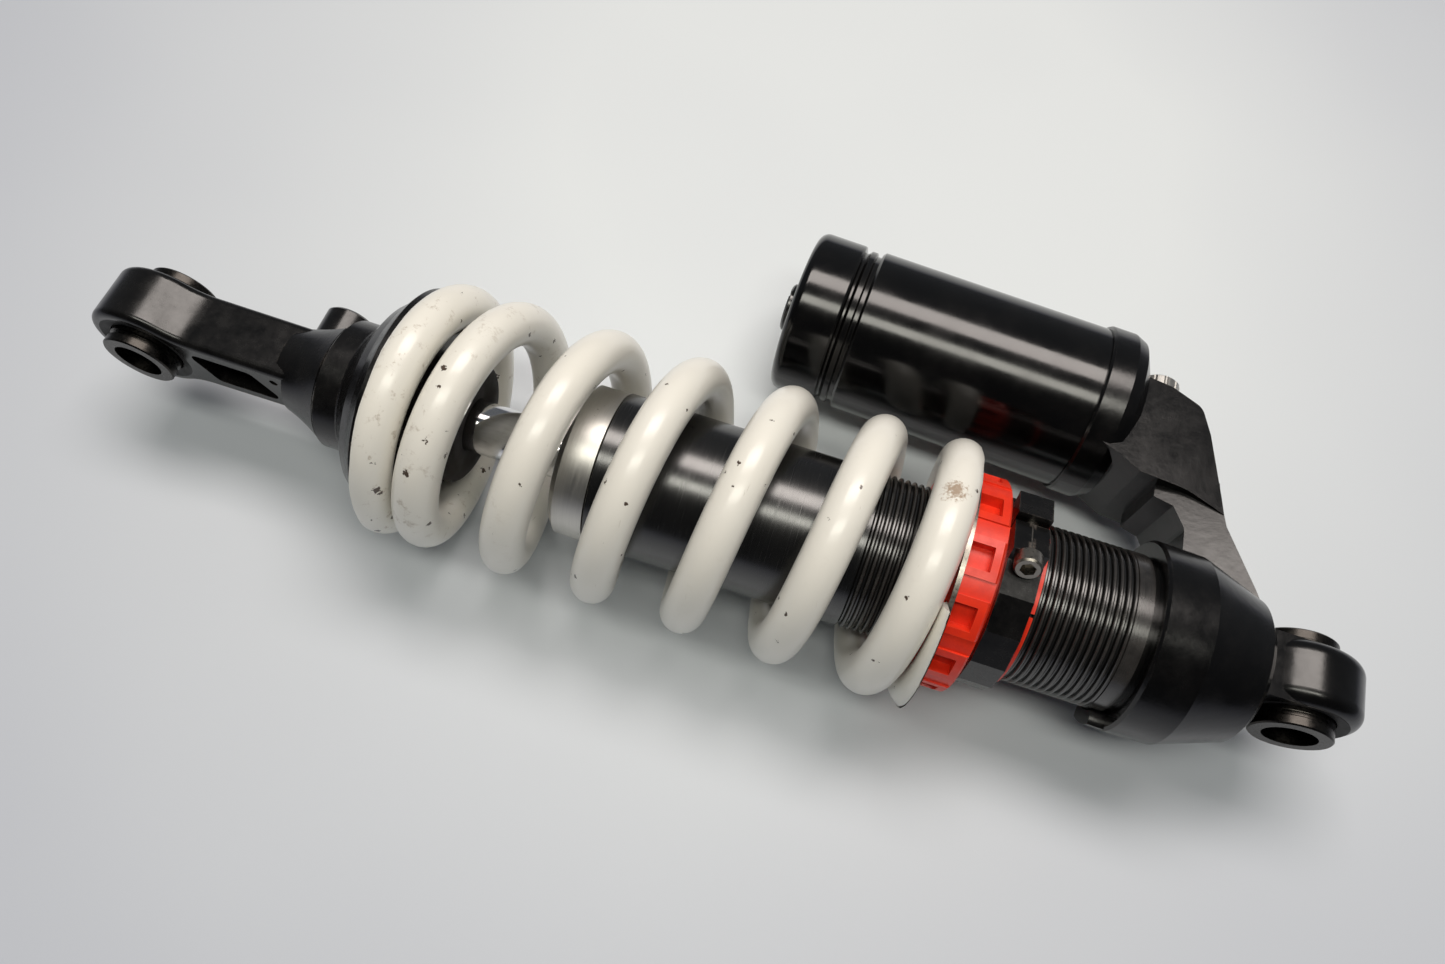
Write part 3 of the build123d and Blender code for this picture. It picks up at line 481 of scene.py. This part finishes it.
def coil_piece(name, line, close_start, close_end):
    """A stretch of wire as a tube, ground flat where it passes the spring's end planes."""
    mesh = bpy.data.meshes.new(name)
    build = bmesh.new()
    rings = []
    round_normals = []
    for _, centre, along in line:
        outward = Vector((0, centre.y, centre.z)).normalized()
        side = along.cross(outward)
        ring = []
        for step in range(WIRE_SIDES):
            angle = 2 * math.pi * step / WIRE_SIDES
            normal = outward * math.cos(angle) + side * math.sin(angle)
            point = centre + normal * WIRE_RADIUS
            point.x = min(max(point.x, spring_low.x), spring_high.x)
            ring.append(build.verts.new(point))
            round_normals.append(normal)
        rings.append(ring)
    for ring, following in zip(rings, rings[1:]):
        for step in range(WIRE_SIDES):
            after = (step + 1) % WIRE_SIDES
            build.faces.new((ring[step], ring[after], following[after], following[step]))
    if close_start:
        build.faces.new(reversed(rings[0]))
    if close_end:
        build.faces.new(rings[-1])
    build.to_mesh(mesh)
    build.free()
    mesh.shade_smooth()
    mesh.normals_split_custom_set(wire_normals(mesh, round_normals))
    piece = bpy.data.objects.new(name, mesh)
    bpy.context.scene.collection.objects.link(piece)
    paint(piece, "spring_cream")
    return piece


def wire_normals(mesh, round_normals):
    """A normal for each face corner: round along the wire, flat on the ground ends."""
    normals = []
    for face in mesh.polygons:
        ground = abs(face.normal.x) > 0.999 or len(face.vertices) > 4
        for vertex in face.vertices:
            normals.append(face.normal if ground else round_normals[vertex])
    return normals


def build_spring():
    """The spring in two stretches that meet at one turn, following the preload ring and the rod."""
    line = coil_line()
    split = min(range(len(line)), key=lambda index: abs(line[index][0] - SPLIT_TURN))
    head_line = line[:split + 1]
    rod_line = line[split:]
    meeting = (line[split][1].x, 0, 0)
    head_coils = coil_piece("spring_head_coils", head_line, True, False)
    rod_coils = coil_piece("spring_rod_coils", rod_line, False, True)
    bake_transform(head_coils, "damper_body", "thrust_washer", start=meeting, end=(spring_high.x, 0, 0))
    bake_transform(rod_coils, "damper_body", "rod", start=meeting, end=(spring_low.x, 0, 0))
    share_by_gap(head_coils, [1 - share for share in gap_shares(head_line)])
    share_by_gap(rod_coils, gap_shares(rod_line))
    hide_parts("spring")
    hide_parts("spring")


def gap_shares(line):
    """The share of the open space between the coils that lies before each point of the line."""
    passed = [0.0]
    for (turns, _, _), (next_turns, _, _) in zip(line, line[1:]):
        gap = max(pitch_at((turns + next_turns) / 2) - 2 * WIRE_RADIUS, 0.0)
        passed.append(passed[-1] + gap)
    return [space / passed[-1] for space in passed]


def share_by_gap(piece, shares):
    """Move every ring of wire as one and close the open coils in step: the end coils stay shut."""
    weights = piece.data.attributes["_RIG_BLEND"].data
    for ring, share in enumerate(shares):
        for step in range(WIRE_SIDES):
            weights[ring * WIRE_SIDES + step].value = share


build_spring()


# ---------------------------------------------------------------- the bump stop

FOAM_BORE_RADIUS = 8.35 * MM
NOSE_DEPTH = 1.6 * MM
HEEL_DEPTH = 0.6 * MM
WAIST_DEPTH = 1.9 * MM
OUTLINE_STEPS = 40
LATHE_SIDES = 96

bump_low, bump_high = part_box("bump_stop")


def lathe(name, outline):
    """Turn a closed outline of (x, radius) points about the damper's axis."""
    mesh = bpy.data.meshes.new(name)
    build = bmesh.new()
    rings = []
    for side in range(LATHE_SIDES):
        angle = 2 * math.pi * side / LATHE_SIDES
        turned = [(x, r * math.cos(angle), r * math.sin(angle)) for x, r in outline]
        rings.append([build.verts.new(point) for point in turned])
    for side in range(LATHE_SIDES):
        ring, following = rings[side], rings[(side + 1) % LATHE_SIDES]
        for step in range(len(outline)):
            after = (step + 1) % len(outline)
            build.faces.new((ring[step], ring[after], following[after], following[step]))
    bmesh.ops.recalc_face_normals(build, faces=build.faces)
    build.to_mesh(mesh)
    build.free()
    piece = bpy.data.objects.new(name, mesh)
    bpy.context.scene.collection.objects.link(piece)
    mesh.shade_smooth()
    return piece


def bump_outline():
    """The foam sleeve's outline: a rounded nose and heel, and one soft waist between them."""
    length = bump_high.x - bump_low.x
    outline = []
    for step in range(OUTLINE_STEPS + 1):
        share = step / OUTLINE_STEPS
        nose = NOSE_DEPTH * max(0.0, (share - 0.93) / 0.07) ** 2
        heel = HEEL_DEPTH * max(0.0, (0.04 - share) / 0.04) ** 2
        waist = WAIST_DEPTH * math.exp(-((share - 0.47) / 0.06) ** 2)
        outline.append((bump_low.x + length * share, bump_high.y - nose - heel - waist))
    outline.append((bump_high.x, FOAM_BORE_RADIUS))
    outline.append((bump_low.x, FOAM_BORE_RADIUS))
    return outline


# The foam sleeve is one rigid piece carried by the rod; it is not squashed at full stroke, when it sits
# between its seat and the lip of the rod wiper
bump = lathe("foam_bump_stop", bump_outline())
paint(bump, "bump_foam")
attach(bump, "rod")
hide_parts("bump_stop")
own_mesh(bump)


# ---------------------------------------------------------------- floor, light and camera

# Middle of the pool of light painted on the floor, and the distances in metres where it begins and ends
# fading to painted shade
FLOOR_PAINTED_LIGHT_SPOT = (-0.17, 0.19, 0)
FLOOR_FADE_BEGINS = 0.12
FLOOR_FADE_ENDS = 0.56
STRIP_HEIGHT = 1.2
STRIP_LENGTH = 1.0
STRIP_SHIFT = 0.02
ROOM_FRONT = 0.04
ROOM_BACK = 0.14
CAMERA_PLACE = Vector((-0.1463, -0.1139, 0.2662))
CAMERA_LOOK = Vector((-0.0821, 0.4120, -0.9075))
CAMERA_SIDE = Vector((0.9491, 0.3100, 0.0549))
CAMERA_LENS = 24.63


def make_floor():
    """A pale sheet under the shock with a pool of light painted on it behind the middle, fading to a darker,
    bluish painted shade further out, and slow unevenness.
    """
    bpy.ops.mesh.primitive_plane_add(size=8, location=(0, 0, cad_low.z))
    floor = bpy.context.object
    floor.name = "floor"
    shader = Shader("floor_paper", specular_ior_level=0.2)
    from_painted_light = shader.add("ShaderNodeVectorMath", operation="DISTANCE")
    shader.put(from_painted_light.inputs[0], shader.place)
    from_painted_light.inputs[1].default_value = FLOOR_PAINTED_LIGHT_SPOT
    fade = shader.band(from_painted_light.outputs["Value"], FLOOR_FADE_BEGINS, FLOOR_FADE_ENDS)
    uneven = shader.band(shader.noise(0.22, detail=2), 0.3, 0.7, -0.06, 0.06)
    share = shader.math("ADD", fade, uneven, clamp=True)
    # Painted light and shade: pale round the painted light spot, darker and bluer further out
    paper_and_painted_light = shader.mix(share, (0.79, 0.835, 0.865), (0.435, 0.462, 0.560))
    shader.set(base_color=paper_and_painted_light, roughness=0.55)
    floor.data.materials.append(shader.material)


def strip_light(name, elevation, width, radiance, colour):
    """A long ceiling light along the damper. Its angle about X, from +Y, and width are in degrees."""
    angle = math.radians(elevation)
    middle = (cad_low + cad_high) / 2
    across, above = math.cos(angle) * STRIP_HEIGHT, math.sin(angle) * STRIP_HEIGHT
    lamp = bpy.data.lights.new(name, "AREA")
    lamp.shape = "RECTANGLE"
    lamp.size = STRIP_LENGTH
    lamp.size_y = math.radians(width) * STRIP_HEIGHT
    lamp.energy = radiance * math.pi * lamp.size * lamp.size_y
    lamp.color = colour
    holder = bpy.data.objects.new(name, lamp)
    holder.location = middle + Vector((STRIP_SHIFT, across, above))
    holder.rotation_euler = (angle - math.radians(90), 0, 0)
    bpy.context.scene.collection.objects.link(holder)


def make_surround():
    """A dim room: grey behind the shock, and nearly black on the photographer's side."""
    world = bpy.data.worlds.new("room")
    world.use_nodes = True
    tree = world.node_tree
    background = tree.nodes["Background"]
    background.inputs["Color"].default_value = (0.88, 0.93, 1.0, 1)
    direction = tree.nodes.new("ShaderNodeTexCoord")
    parts = tree.nodes.new("ShaderNodeSeparateXYZ")
    fade = tree.nodes.new("ShaderNodeMapRange")
    fade.inputs["From Min"].default_value = -0.45
    fade.inputs["From Max"].default_value = 0.35
    fade.inputs["To Min"].default_value = ROOM_FRONT
    fade.inputs["To Max"].default_value = ROOM_BACK
    tree.links.new(direction.outputs["Generated"], parts.inputs[0])
    tree.links.new(parts.outputs["Y"], fade.inputs["Value"])
    tree.links.new(fade.outputs[0], background.inputs["Strength"])
    bpy.context.scene.world = world


def make_camera():
    """The wide-angle camera, near the rod's side and looking steeply down."""
    look = CAMERA_LOOK.normalized()
    side = (CAMERA_SIDE - look * CAMERA_SIDE.dot(look)).normalized()
    up = side.cross(look)
    camera = bpy.data.cameras.new("camera")
    camera.lens = CAMERA_LENS
    camera.sensor_width = 36
    camera.clip_start = 0.01
    holder = bpy.data.objects.new("camera", camera)
    turn = Matrix((side, up, -look)).transposed().to_4x4()
    holder.matrix_world = Matrix.Translation(CAMERA_PLACE) @ turn
    bpy.context.scene.collection.objects.link(holder)
    bpy.context.scene.camera = holder


make_floor()
strip_light("strip_back", 71, 19, 8.2, (1.0, 0.92, 0.86))
strip_light("strip_front", 104, 11, 7.8, (1.0, 0.98, 0.88))
make_surround()
make_camera()
bpy.context.scene.view_settings.view_transform = "Standard"
